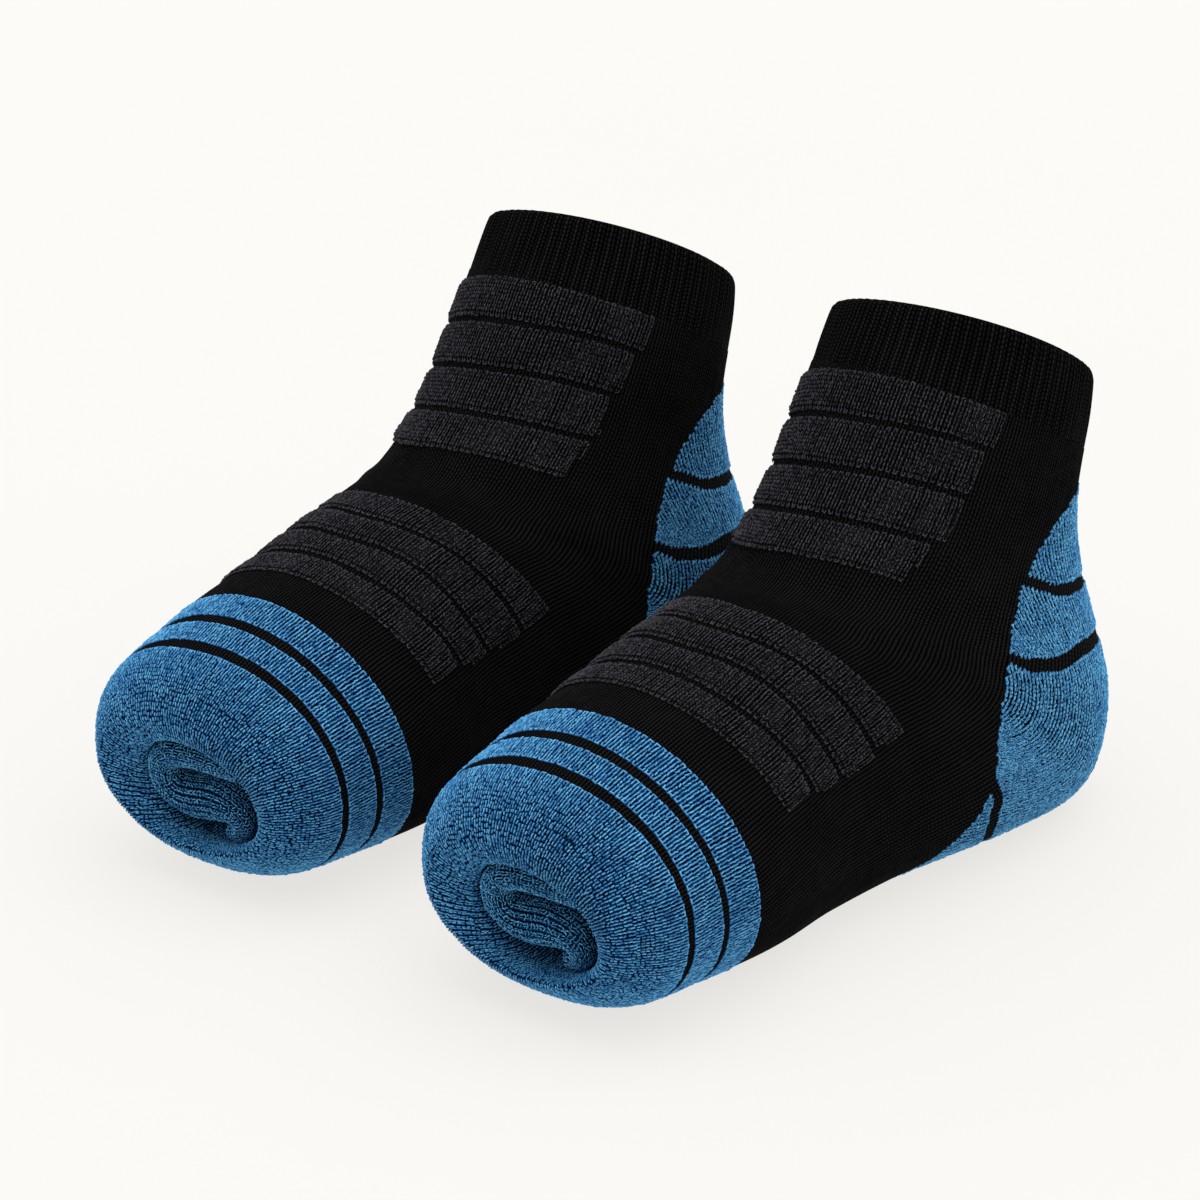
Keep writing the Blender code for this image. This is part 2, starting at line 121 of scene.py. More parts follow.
def skin(place, turn):
    """Points of a sock's outside. A turn of 0 is the middle of the front, 90 degrees the side at +X."""
    place, turn = np.broadcast_arrays(np.asarray(place, float), np.asarray(turn, float))
    top_f, top_z, sole_f, sole_z, half_width, top_power, sole_power = np.moveaxis(
        smooth_rows(FORM, place), -1, 0
    )
    cosine, sine = np.cos(turn), np.sin(turn)
    power = np.where(cosine >= 0, top_power, sole_power)
    lift = np.sign(cosine) * np.abs(cosine) ** (2 / power)
    side = half_width * np.sign(sine) * np.abs(sine) ** (2 / power)
    forward = (top_f + sole_f + (top_f - sole_f) * lift) / 2
    height = (top_z + sole_z + (top_z - sole_z) * lift) / 2
    height = height + RIM_LEAN * np.sin(turn) * np.clip(1 - place, 0, 1) ** 2
    return np.stack((side, FOOT_MIDDLE - forward, np.maximum(height, 0.0)), axis=-1)


def unit(vectors):
    return vectors / np.maximum(np.linalg.norm(vectors, axis=-1, keepdims=True), 1e-9)


def outward(place, turn):
    """Unit normals of the outside."""
    nudge = 0.004  # places and radians to either side
    down = skin(place + nudge, turn) - skin(place - nudge, turn)
    around = skin(place, turn + nudge) - skin(place, turn - nudge)
    return unit(np.cross(down, around))


def moved_out(place, turn, distance):
    """Points a distance outside the skin, never under the sole."""
    points = skin(place, turn) + outward(place, turn) * np.asarray(distance)[..., None]
    points[..., 2] = np.maximum(points[..., 2], np.maximum(-np.asarray(distance), 0.0))
    return points


# How far each of many rings runs from the middle of the front to the middle of the back
RING_STEP = 0.02
RING_PLACES = np.arange(0.0, len(FORM) - 1 + RING_STEP / 2, RING_STEP)
FINE_TURNS = np.linspace(0.0, np.pi, 181)
RING_POINTS = skin(RING_PLACES[:, None], FINE_TURNS)


def run_lengths(points):
    """How far each point of a line is along it."""
    return np.append(0.0, np.cumsum(np.linalg.norm(np.diff(points, axis=0), axis=1)))


RING_LENGTHS = np.array([run_lengths(ring) for ring in RING_POINTS])
HALF_RINGS = RING_LENGTHS[:, -1]
TOP_LINE = run_lengths(RING_POINTS[:, 0])
SIDE_LINE = run_lengths(RING_POINTS[:, len(FINE_TURNS) // 2])


def turns_at(places, distances):
    """Turns at distances along the skin from the middle of the front; a row of them for each place."""
    distances = np.broadcast_to(distances, (len(places), np.shape(distances)[-1]))
    turns = np.empty(distances.shape)
    for row, place in enumerate(places):
        near = min(int(place / RING_STEP), len(RING_PLACES) - 2)
        share = place / RING_STEP - near
        lengths = RING_LENGTHS[near] * (1 - share) + RING_LENGTHS[near + 1] * share
        turns[row] = np.sign(distances[row]) * np.interp(np.abs(distances[row]), lengths, FINE_TURNS)
    return turns


def standing(points, sock):
    """From one sock's millimetres to the pair's metres."""
    yaw = np.radians(sock.yaw)
    x, y, z = np.moveaxis(np.asarray(points, float), -1, 0)
    return MM * np.stack(
        (
            np.cos(yaw) * x - np.sin(yaw) * y + sock.across,
            np.sin(yaw) * x + np.cos(yaw) * y + sock.back + PAIR_BACK,
            z,
        ),
        axis=-1,
    )


def make_piece(name, sock, points, faces, finish, chart, stitches=None, marks=None):
    """A mesh riding on the body. chart and stitches give two coordinates for each corner of a face:
    the place on the flattened cloth, and the count of stitches across and along. marks are numbers
    for each point that the finishes read."""
    mesh = bpy.data.meshes.new(name)
    mesh.from_pydata(standing(points.reshape(-1, 3), sock).tolist(), [], faces.tolist())
    mesh.materials.append(finish)
    for layer, corners in (("OFBake", chart), ("stitches", stitches)):
        if corners is not None:
            mesh.uv_layers.new(name=layer).data.foreach_set("uv", corners.astype(np.float32).ravel())
    for mark, values in (marks or {}).items():
        mesh.attributes.new(mark, "FLOAT", "POINT").data.foreach_set("value", values.astype(np.float32))
    mesh.shade_smooth()
    piece = bpy.data.objects.new(name, mesh)
    bpy.context.scene.collection.objects.link(piece)
    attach(piece, "root")
    return piece


def grid_faces(rows, columns, closed):
    """Quads of a grid of points, facing out, and each corner's row and column, counted past the seam."""
    last = columns if closed else columns - 1
    row, column = np.meshgrid(np.arange(rows - 1), np.arange(last), indexing="ij")
    corner_rows = np.stack((row, row + 1, row + 1, row), axis=-1).reshape(-1, 4)
    corner_columns = np.stack((column, column, column + 1, column + 1), axis=-1).reshape(-1, 4)
    return corner_rows * columns + corner_columns % columns, corner_rows, corner_columns


class Nodes:
    """A short way to write a finish's nodes."""

    def __init__(self, name):
        self.material = bpy.data.materials.new(name)
        self.material.use_nodes = True
        self.tree = self.material.node_tree
        self.shader = self.tree.nodes["Principled BSDF"]

    def add(self, kind, inputs=None, **settings):
        node = self.tree.nodes.new(kind)
        for key, value in settings.items():
            setattr(node, key, value)
        for key, value in (inputs or {}).items():
            if isinstance(value, bpy.types.NodeSocket):
                self.tree.links.new(value, node.inputs[key])
            else:
                node.inputs[key].default_value = value
        return node

    def math(self, operation, *values):
        return self.add("ShaderNodeMath", dict(enumerate(values)), operation=operation).outputs[0]

    def link(self, source, target):
        self.tree.links.new(source, self.shader.inputs[target])

    def mix(self, share, first, second):
        node = self.add("ShaderNodeMix", {0: share, 6: first, 7: second}, data_type="RGBA")
        return node.outputs[2]

    def noise(self, vector, scale, detail=2.0, rough=0.5):
        inputs = {"Vector": vector, "Scale": scale, "Detail": detail, "Roughness": rough}
        return self.add("ShaderNodeTexNoise", inputs).outputs["Fac"]

    def object_place(self):
        return self.add("ShaderNodeTexCoord").outputs["Object"]

    def stitch_relief(self, slant, wander, beads, rib):
        """The relief of knitted stitches: cords side by side, each a column of slanting loops. beads is
        how deep the cords are notched between loops, and rib how many cords make a rib."""
        place = self.add("ShaderNodeUVMap", uv_map="stitches").outputs["UV"]
        split = self.add("ShaderNodeSeparateXYZ", {0: place})
        drift = self.math("SUBTRACT", self.noise(place, 0.4, 3.0), 0.5)
        across = self.math("MULTIPLY_ADD", drift, wander, split.outputs[0])
        lean = self.math("PINGPONG", across, 1.0)  # neighbouring cords lean opposite ways
        along = self.math("MULTIPLY_ADD", lean, slant, split.outputs[1])
        cord_count = self.math("FLOOR", across)
        shift = self.add("ShaderNodeTexWhiteNoise", {"W": cord_count}, noise_dimensions="1D")
        along = self.math("ADD", along, shift.outputs["Value"])
        along = self.math("MULTIPLY_ADD", drift, wander * 1.6, along)
        cord = self.bulge(self.math("FRACT", across), 2.0)
        loop = self.bulge(self.math("FRACT", along), 2.6)
        patchy = self.math("MULTIPLY", self.noise(place, 0.12, 3.0), 2.0 * beads)
        notch = self.math("MULTIPLY", self.math("SUBTRACT", 1.0, loop), self.math("MINIMUM", patchy, 1.0))
        relief = self.math("MULTIPLY", cord, self.math("SUBTRACT", 1.0, notch))
        if rib:
            back = self.bulge(self.math("FRACT", self.math("DIVIDE", split.outputs[0], float(rib))), 2.2)
            relief = self.math("MULTIPLY", relief, self.math("MULTIPLY_ADD", back, 0.5, 0.5))
        return relief

    def bulge(self, share, power):
        """1 in the middle of a span and 0 at its ends."""
        side = self.math("ABSOLUTE", self.math("MULTIPLY_ADD", share, 2.0, -1.0))
        return self.math("SUBTRACT", 1.0, self.math("POWER", side, power))


def knit_finish(name, gap, yarn, relief_depth, slant=0.35, wander=0.4, beads=0.4, rib=0, striped=False):
    """Fine knit: the yarn's colour on each stitch, painted shade in near black between them, and the
    stitches' relief.
    A striped one turns black where its points' from_stripe is below 0."""
    nodes = Nodes(name)
    place = nodes.object_place()
    relief = nodes.stitch_relief(slant, wander, beads, rib)
    patchy = nodes.noise(place, 70.0, 3.0)
    fibre = nodes.noise(place, 2600.0, 2.0, 0.6)
    # Painted shade: the colour falls to near black in the furrows between cords, between loops and between
    # ribs.
    tint = nodes.math("POWER", relief, 2.6)
    tint = nodes.math("MULTIPLY", tint, nodes.math("MULTIPLY_ADD", patchy, 1.0, 0.6))
    tint = nodes.math("MULTIPLY", tint, nodes.math("MULTIPLY_ADD", fibre, 1.2, 0.4))
    if striped:
        from_stripe = nodes.add("ShaderNodeAttribute", attribute_name="from_stripe").outputs["Fac"]
        yarn = nodes.mix(nodes.math("LESS_THAN", from_stripe, 0.0), yarn, BLACK_YARN)
    nodes.link(nodes.mix(tint, gap, yarn), "Base Color")
    nodes.link(nodes.math("MULTIPLY_ADD", fibre, 0.25, 0.72), "Roughness")
    height = nodes.math("MULTIPLY_ADD", fibre, 0.18, relief)
    bump = nodes.add("ShaderNodeBump", {"Height": height, "Distance": relief_depth, "Strength": 1.0})
    nodes.link(bump.outputs[0], "Normal")
    nodes.shader.inputs["Specular IOR Level"].default_value = 0.01
    return nodes.material


RIBS = 70
RIB_POINTS = 8
RIB_STITCHES = 3
COURSE = 1.05  # one row of stitches along the sock
WELT_WALL = 2.6
RIB_RISE = 0.5
RIM_ROUND = WELT_WALL / 2
CUFF_PITCH = 20.0  # millimetres from one place to the next there
RIM_SHOULDER = 5.0  # how far below the rim the outside starts to round in
CUFF_INNER_DEPTH = 1.4
RIM_TURNS = (15, 30, 45, 60, 75, 90, 112.5, 135, 157.5)  # the rim's rounding, in degrees
INNER_RIBS = 0.25  # how strongly the ribs show on the inside
RIB_UNEVEN = (0.6, 1.25)
RIB_LEVEL = 0.75  # the part of a rib's height that lies at the skin
RIB_FADE = ((0.0, 1.18, 1.36, CUFF_SEAM), (1.0, 1.0, 0.25, 0.1))  # the ribs flatten toward the seam
CUFF_CHART = 250.0  # millimetres to one unit of the flattened cloth

# Painted shade: the near black put between the stitches of every knit.
PAINTED_STITCH_SHADE = (0.0001, 0.0001, 0.0001, 1.0)
BLACK_YARN = (0.0086, 0.0083, 0.0093, 1.0)
RIB_YARN = (0.0122, 0.0119, 0.0132, 1.0)
black_rib = knit_finish(
    "black_rib_yarn", PAINTED_STITCH_SHADE, RIB_YARN, 0.0004, slant=0.3, beads=0.6, rib=RIB_STITCHES
)


def rib_profile(phase):
    """Height across one rib, from 0 in the furrow to 1 on its flat back."""
    return 1.0 - np.abs(np.cos(np.pi * phase)) ** 3


def cuff_path():
    """The welt from its linked foot, up the outside, over the rim and down the inside."""
    shoulder, top = RIM_SHOULDER / CUFF_PITCH, RIM_ROUND / CUFF_PITCH
    rows = [(place, 0.0, 1.0) for place in np.linspace(CUFF_SEAM, shoulder, 12)]
    for angle in np.radians(RIM_TURNS):
        height = shoulder if angle <= np.pi / 2 else top
        rise = RIM_ROUND * (np.cos(angle) - 1)
        rows.append((height * (1 - np.sin(angle)), rise, 0.9 * np.cos(angle / 2) ** 2))
    rows += [(place, -WELT_WALL, INNER_RIBS) for place in np.linspace(top, CUFF_INNER_DEPTH, 5)]
    return np.array(rows)


def make_cuff(sock):
    path = cuff_path()
    columns = RIBS * RIB_POINTS
    rng = np.random.default_rng(sock.seed)
    shares = np.arange(columns) / columns * 2 - 1
    places = path[:, 0]
    halves = np.interp(places, RING_PLACES, HALF_RINGS)
    turns = turns_at(places, halves[:, None] * shares)
    phase = np.arange(columns) % RIB_POINTS / RIB_POINTS
    rib_heights = rng.uniform(*RIB_UNEVEN, RIBS).repeat(RIB_POINTS)
    fade = np.interp(places, *RIB_FADE)
    ribbed = RIB_RISE * (rib_profile(phase) * rib_heights - RIB_LEVEL)
    rise = path[:, 1, None] + path[:, 2, None] * fade[:, None] * ribbed
    points = moved_out(places[:, None] + np.zeros(columns), turns, rise)
    faces, rows, cols = grid_faces(len(places), columns, True)
    along = run_lengths(points[:, columns // 2])
    stitches = np.stack((cols * RIB_STITCHES / RIB_POINTS, along[rows] / COURSE), axis=-1)
    chart = np.stack((cols / columns, along[rows] / CUFF_CHART), axis=-1)
    piece = make_piece(f"{sock.side}_ribbed_cuff", sock, points, faces, black_rib, chart, stitches)
    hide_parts(f"{sock.side}_cuff")


for sock in SOCKS:
    make_cuff(sock)

# ---------------------------------------------------------------------------------------------------
# Leg and foot. One tube of fine black knit runs from the cuff over the ankle to the toe. Its terry
# bands, four round the front of the ankle and four over the forefoot, are knitted in and stand 1.2 mm
# proud, with narrow plain grooves between them.

WALES = 108
WALE_POINTS = 4  # each wale is two cords
WALE_PITCH = 1.8
CORD_RISE = 0.13
CORD_UNEVEN = 0.03
BAND_FADE = 0.3  # where a band stands out by this, the cords under it are gone
BAND_RISE = 0.95
BAND_SHOULDER = 1.9  # how far in from its edge a band reaches its full height
TOE_SEAM = 12.32
# Where the five grooves of each panel of bands run: their places at turns from -80 to 80 degrees
GROOVE_TURNS = 20
PANELS = (
    np.array((
        (1.58, 2.2, 2.74, 3.3, 3.8), (1.57, 2.16, 2.7, 3.26, 3.76), (1.54, 2.11, 2.64, 3.19, 3.74),
        (1.485, 2.05, 2.58, 3.12, 3.7), (1.44, 2.0, 2.525, 3.055, 3.6), (1.415, 1.945, 2.47, 3.015, 3.565),
        (1.41, 1.9, 2.455, 3.02, 3.62), (1.41, 1.9, 2.46, 3.04, 3.66), (1.41, 1.91, 2.47, 3.06, 3.68),
    )),
    np.array((
        (8.65, 9.31, 9.98, 10.57, 11.29), (8.53, 9.31, 10.09, 10.66, 11.37), (8.43, 9.4, 10.17, 10.81, 11.47),
        (8.45, 9.63, 10.3, 10.91, 11.57), (8.62, 9.78, 10.4, 10.93, 11.58), (8.45, 9.63, 10.3, 10.91, 11.57),
        (8.43, 9.4, 10.17, 10.81, 11.47), (8.53, 9.31, 10.09, 10.66, 11.37), (8.65, 9.31, 9.98, 10.57, 11.29),
    )),
)
GROOVE_HALF = 0.95
LEAST_RISE = 0.15  # where a band stands out less, it has no loops
BAND_SINK = 0.1  # how deep the loops sit in a band's cloth
END_REACH = 1.6  # how far the last column of loops reaches past a band's end turn
# Size, length along the sock, change from wale to wale, and start of each wave in the wales
WALE_WANDER = ((0.4, 9.0, 0.11, 0.4), (0.13, 4.3, -0.31, 2.1))

# The heel pocket's edge in side view: forward of the heel, and height
HEEL_EDGE = np.array((
    (-14.0, 86.0), (12.0, 88.0), (24.0, 89.2), (33.0, 89.0), (40.0, 87.2), (47.0, 83.8), (53.0, 79.8),
    (60.0, 74.0), (66.0, 67.5), (71.5, 60.0), (75.0, 52.0), (77.0, 42.0), (77.5, 30.0), (79.5, 21.0),
    (84.0, 12.0), (92.0, -0.5), (95.0, -6.0), (-14.0, -6.0),
))


def in_heel(points):
    """Whether points lie inside the heel pocket's edge, as seen from the side."""
    forward, height = FOOT_MIDDLE - points[..., 1], points[..., 2]
    inside = np.zeros(forward.shape, bool)
    for (f0, h0), (f1, h1) in zip(HEEL_EDGE, np.roll(HEEL_EDGE, -1, axis=0)):
        if h0 != h1:
            crossed = (h0 > height) != (h1 > height)
            inside ^= crossed & (forward < f0 + (f1 - f0) * (height - h0) / (h1 - h0))
    return inside


def wale_distances(places, wales):
    """How far each wale runs from the middle of the front: an even pitch there, wider at the back, and
    wandering a little from side to side."""
    halves = np.interp(places, RING_PLACES, HALF_RINGS)[:, None]
    pitch = np.minimum(WALE_PITCH, halves / (WALES / 2))
    share = np.abs(wales) / (WALES / 2)
    far = pitch * np.abs(wales) + (halves - pitch * WALES / 2) * share**2.5
    along = np.interp(places, RING_PLACES, SIDE_LINE)[:, None]
    wander = sum(
        size * np.sin(along / length + wales * rate + start) for size, length, rate, start in WALE_WANDER
    )
    return np.sign(wales) * far + wander * np.sin(np.pi * share) ** 0.5


# Soft creases: from a place and turn to another, how deep, and half the width
Crease = namedtuple("Crease", "place turn end_place end_turn depth half_width")
CREASES = (
    Crease(3.72, -44, 3.98, 58, 0.55, 3.4),
    Crease(4.35, 58, 5.7, 88, 0.5, 4.2),
    Crease(4.5, -60, 5.9, -92, 0.5, 4.4),
    Crease(4.75, -30, 4.95, 34, 0.35, 4.0),
    Crease(6.3, 66, 8.4, 84, 0.4, 5.0),
    Crease(6.5, -64, 8.2, -88, 0.4, 5.2),
    Crease(8.2, -20, 8.5, 38, 0.3, 4.0),
    Crease(1.75, 92, 2.9, 112, 0.35, 5.0),
    Crease(1.9, -90, 3.0, -116, 0.4, 5.0),
    Crease(9.2, 108, 11.6, 96, 0.35, 5.5),
    Crease(9.4, -112, 11.8, -98, 0.35, 5.5),
    Crease(8.8, 172, 11.2, 158, 0.3, 6.0),
)
MIDDLE_RADIUS = 36.0  # an even measure for the creases, in millimetres: round the foot, and to a place
MIDDLE_PITCH = 14.0
CREASE_STRAY = 0.6
TUBE_CHART = 300.0


def crease_depth(places, turns, seed):
    """How far the creases sink the cloth."""
    rng = np.random.default_rng(seed)
    depth = np.zeros(turns.shape)
    for crease in CREASES:
        at_places = np.array((crease.place, crease.end_place)) * MIDDLE_PITCH
        at_turns = np.radians((crease.turn, crease.end_turn)) * MIDDLE_RADIUS
        start, end = np.stack((at_places, at_turns), axis=1) + rng.normal(0.0, CREASE_STRAY, 4).reshape(2, 2)
        line = end - start
        spot = np.stack((places * MIDDLE_PITCH, turns * MIDDLE_RADIUS), axis=-1) - start
        share = np.clip(spot @ line / (line @ line), 0.0, 1.0)
        away = np.linalg.norm(spot - share[..., None] * line, axis=-1)
        swell = 0.35 + 2.6 * share * (1 - share)  # a crease is deepest half way along
        depth += crease.depth * np.exp(-((away / crease.half_width) ** 2)) * swell
    return depth


def groove_places(panel, turns):
    """The places of a panel's grooves at each turn."""
    return smooth_rows(panel, np.degrees(turns) / GROOVE_TURNS + (len(panel) - 1) / 2)


def band_rise(sock, places, turns):
    """How far the terry bands stand out at places and turns."""
    rise = np.zeros(turns.shape)
    nudge = 0.05
    pitch = np.linalg.norm(skin(places + nudge, turns) - skin(places - nudge, turns), axis=-1) / (2 * nudge)
    radius = np.interp(places, np.arange(len(FORM)), FORM[:, 4])
    for panel, ends in zip(PANELS, sock.end_turns):
        lines = groove_places(panel, turns)
        for band, (upper, lower) in enumerate(ends):
            above, below = places - lines[..., band], lines[..., band + 1] - places
            share = np.clip(above / (above + below), 0, 1)
            end_turn = np.radians(upper + (lower - upper) * share)
            from_edges = np.minimum(above, below) * pitch - GROOVE_HALF
            from_end = (end_turn - np.abs(turns)) * radius + END_REACH
            shoulders = [1 - (1 - np.clip(x / BAND_SHOULDER, 0, 1)) ** 2.5 for x in (from_edges, from_end)]
            rise = np.maximum(rise, BAND_RISE * shoulders[0] * shoulders[1])
    return rise


def tube_places():
    """Rows of the tube: close together over the bands, wider between them."""
    spans = (CUFF_SEAM, 3.8, 52), (3.88, 8.3, 42), (8.36, 11.68, 62), (11.75, TOE_SEAM, 6)
    return np.concatenate([np.linspace(*span) for span in spans])


black_knit = knit_finish("black_fine_knit", PAINTED_STITCH_SHADE, BLACK_YARN, 0.0003)


def tube_grid(sock, places):
    """Points of the knitted tube, with its wales and terry bands raised."""
    columns = WALES * WALE_POINTS
    wales = np.arange(columns) / WALE_POINTS - WALES / 2
    distances = wale_distances(places, wales)
    turns = turns_at(places, distances)
    grid = places[:, None] + np.zeros(columns)
    bands = band_rise(sock, grid, turns)
    cord = np.where(np.arange(columns) % 2 == 0, -CORD_RISE, CORD_RISE)
    rng = np.random.default_rng(sock.seed + 1)
    uneven = rng.normal(0.0, CORD_UNEVEN, columns)
    plain = np.clip(1 - bands / BAND_FADE, 0.0, 1.0)
    sunk = crease_depth(grid, turns, sock.seed)
    return moved_out(grid, turns, bands - sunk + plain * (cord + uneven))


def tube_corners(rows, cols, places):
    """Places on the flattened cloth and stitch counts for the tube's corners."""
    along = np.interp(places, RING_PLACES, SIDE_LINE)[rows]
    stitches = np.stack((2 * cols / WALE_POINTS, along / COURSE), axis=-1)
    chart = np.stack((cols / (WALES * WALE_POINTS), along / TUBE_CHART), axis=-1)
    return chart, stitches


def make_leg_foot(sock):
    """The knit tube, cut out along the heel pocket's edge."""
    places = tube_places()
    points = tube_grid(sock, places)
    faces, rows, cols = grid_faces(*points.shape[:2], True)
    heel = in_heel(points.reshape(-1, 3)[faces].mean(axis=1))
    chart, stitches = tube_corners(rows, cols, places)
    name = f"{sock.side}_knitted_leg_foot"
    tube = make_piece(name, sock, points, faces[~heel], black_knit, chart[~heel], stitches[~heel])
    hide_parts(f"{sock.side}_leg_foot")
    return tube


# Painted shade: the first of these darkens the grey loops toward their roots; the other two are the yarn's
# own tones.
GREY_PAINTED_SHADE = (0.0003, 0.0003, 0.0005, 1.0)
GREY_DEEP = (0.011, 0.0107, 0.0135, 1.0)
GREY_YARN = (0.078, 0.073, 0.089, 1.0)
WALE = 1.8  # from one column of terry to the next
LEGS_APART = 0.82  # the two legs of a loop
LEG_SIZE = (1.2, 0.56, 0.52)
ARCH_SIZE = (1.4, 0.52, 0.5)
ARCH_AHEAD = 0.46
LOOP_SUNK = 0.17
LEG_LEAN = 0.1
LOOP_UNEVEN = (0.12, 0.1, 0.17)  # in length, width and height
LOOP_CROWD = (0.3, 0.8, 0.3)  # how strongly each of them shrinks where the columns are closer
SIDE_STRAY = 0.06
TERRY_CHART = 260.0

# One leg of a loop: a rounded ridge over four corners
LOOP_POINTS = np.array((
    (0.44, 0.46, 0.25), (-0.44, 0.46, 0.25), (-0.44, -0.46, 0.25), (0.44, -0.46, 0.25), (0.26, 0.0, 1.0),
    (-0.26, 0.0, 1.0),
))
# 1 at a leg's ridge and 0 at its corners, toward which the finishes paint shade
LOOP_TIPS = (0, 0, 0, 0, 1, 1)
LOOP_FACES = np.array(((0, 1, 5), (0, 5, 4), (1, 2, 5), (2, 3, 4), (2, 4, 5), (3, 0, 4)))


def terry_finish(name, gap, deep, bright, shine):
    """Terry loops: painted shade at their roots, the yarn's colour along their backs, each loop a little
    different.
    """
    nodes = Nodes(name)
    place = nodes.object_place()
    tip = nodes.add("ShaderNodeAttribute", attribute_name="tip").outputs["Fac"]
    tone = nodes.add("ShaderNodeAttribute", attribute_name="tone").outputs["Fac"]
    fibre = nodes.noise(place, 2300.0, 2.0, 0.6)
    patchy = nodes.noise(place, 120.0, 2.0)
    lit = nodes.math("MULTIPLY_ADD", tone, 0.8, nodes.math("MULTIPLY_ADD", patchy, 0.5, -0.05))
    yarn = nodes.mix(nodes.math("MULTIPLY_ADD", fibre, 0.4, nodes.math("SUBTRACT", lit, 0.2)), deep, bright)
    # Painted shade: each loop's colour runs from its yarn at the ridge down to the gap's shade at its root.
    nodes.link(nodes.mix(nodes.math("POWER", tip, 1.8), gap, yarn), "Base Color")
    nodes.link(nodes.math("MULTIPLY_ADD", fibre, 0.3, 0.5), "Roughness")
    bump = nodes.add("ShaderNodeBump", {"Height": fibre, "Distance": 0.00012, "Strength": 0.8})
    nodes.link(bump.outputs[0], "Normal")
    nodes.shader.inputs["Specular IOR Level"].default_value = shine
    return nodes.material


def stitch_spots(first, last, distances, pitch, offsets=None, edges=None, loose=(1.0, 1.0)):
    """Spots about a pitch apart along lines of the skin. distances gives each line's distance from the
    middle of the front at places; offsets moves each line's spots, by the shares in loose at its start
    and end. edges gives, from a line's places and turns, the places between which its spots are spread
    evenly, and how far inside each they stop. Gives each spot's place and turn, those a third of a pitch
    ahead, its line and its count."""
    places = np.arange(first, last + RING_STEP / 2, RING_STEP)
    turns = turns_at(places, distances(places))
    points = skin(places[:, None], turns)
    steps = np.linalg.norm(np.diff(points, axis=0), axis=2)
    spots = []
    for line in range(points.shape[1]):
        lengths = np.append(0.0, np.cumsum(steps[:, line]))
        start, end, gap = 0.0, lengths[-1], pitch
        if edges is not None:
            between, margins = edges(places, turns[:, line])
            start, end = np.interp(between, places, lengths) + (margins[0], -margins[1])
            gap = (end - start) / max(round((end - start) / pitch), 1)
            start += gap / 2
        at = np.arange(start, end, gap)
        if offsets is not None:
            at += offsets[line] * np.linspace(*loose, len(at))
        place, ahead = np.interp(at, lengths, places), np.interp(at + pitch / 3, lengths, places)
        turn, turned = (np.interp(x, places, turns[:, line]) for x in (place, ahead))
        spots.append(np.stack((place, turn, ahead, turned, np.full(len(at), line), np.arange(len(at)))))
    return np.concatenate(spots, axis=1)


def frames(spots, rise):
    """Positions and directions at spots: along the line, across it, and out of the skin."""
    place, turn, next_place, next_turn = spots[:4]
    out = outward(place, turn)
    base = skin(place, turn)
    along = unit(skin(next_place, next_turn) - base + out * 1e-6)
    across = unit(np.cross(out, along))
    return base + out * np.asarray(rise)[..., None], along, across, out


def make_terry(
    name, sock, frame, pitch, starts, ends, rng, finish, chart, stretch=1.0, spread=0.18, scatter=0.09,
    apart=LEGS_APART,
):
    """Terry as one mesh: at each spot the two legs of a loop, and an arch across them where a column
    starts or ends, each turned, sized and set a little differently. stretch is each leg's length beside
    the usual, spread how unevenly they point, scatter how far they stray along the column and apart how
    far the two legs stand from each other."""
    every = np.ones(len(pitch), bool)
    picks, asides, aheads, leans, sizes = [], [], [], [], []
    for picked, aside, ahead, lean, size in (
        (every, -0.5, 0.0, LEG_LEAN, LEG_SIZE),
        (every, 0.5, 0.0, -LEG_LEAN, LEG_SIZE),
        (starts, 0.0, -ARCH_AHEAD, np.pi / 2, ARCH_SIZE),
        (ends, 0.0, ARCH_AHEAD, np.pi / 2, ARCH_SIZE),
    ):
        spots = np.flatnonzero(picked)
        picks.append(spots)
        asides.append(aside * apart * pitch[spots] / WALE)
        aheads.append(np.full(len(spots), ahead))
        leans.append(np.full(len(spots), lean))
        sizes.append(np.tile(size, (len(spots), 1)))
    picks, asides, aheads, leans, sizes = (
        np.concatenate(part) for part in (picks, asides, aheads, leans, sizes)
    )
    base, along, across, out = (part[picks] for part in frame)
    count = len(picks)
    angle = leans + rng.normal(0.0, 1.0, count) * np.broadcast_to(spread, len(pitch))[picks]
    ahead = along * np.cos(angle)[:, None] + across * np.sin(angle)[:, None]
    beside = np.cross(out, ahead)
    crowd = np.clip(pitch[picks] / WALE, 0.7, 1.1)[:, None] ** LOOP_CROWD
    sizes = sizes * crowd * rng.normal(1.0, LOOP_UNEVEN, (count, 3)).clip(0.6, 1.4)
    sizes[:, 0] *= np.broadcast_to(stretch, len(pitch))[picks]
    stray = np.stack((np.broadcast_to(scatter, len(pitch))[picks], np.full(count, SIDE_STRAY)), axis=1)
    shift = rng.normal(0.0, 1.0, (count, 2)) * stray + np.stack((aheads, asides), axis=1)
    local = LOOP_POINTS * sizes[:, None]
    local[..., 2] -= LOOP_SUNK
    centre = base + along * shift[:, :1] + across * shift[:, 1:]
    points = centre[:, None] + sum(
        local[..., k, None] * axis[:, None] for k, axis in enumerate((ahead, beside, out))
    )
    faces = (LOOP_FACES + np.arange(count)[:, None, None] * len(LOOP_POINTS)).reshape(-1, 3)
    tip = np.tile(LOOP_TIPS, count)
    tone = rng.uniform(0.0, 1.0, count).repeat(len(LOOP_POINTS))
    spot = (chart[picks] + shift[:, ::-1] / TERRY_CHART)[:, None] + local[..., 1::-1] / TERRY_CHART
    corners = spot.reshape(-1, 2)[faces]
    return make_piece(name, sock, points, faces, finish, corners, marks={"tip": tip, "tone": tone})


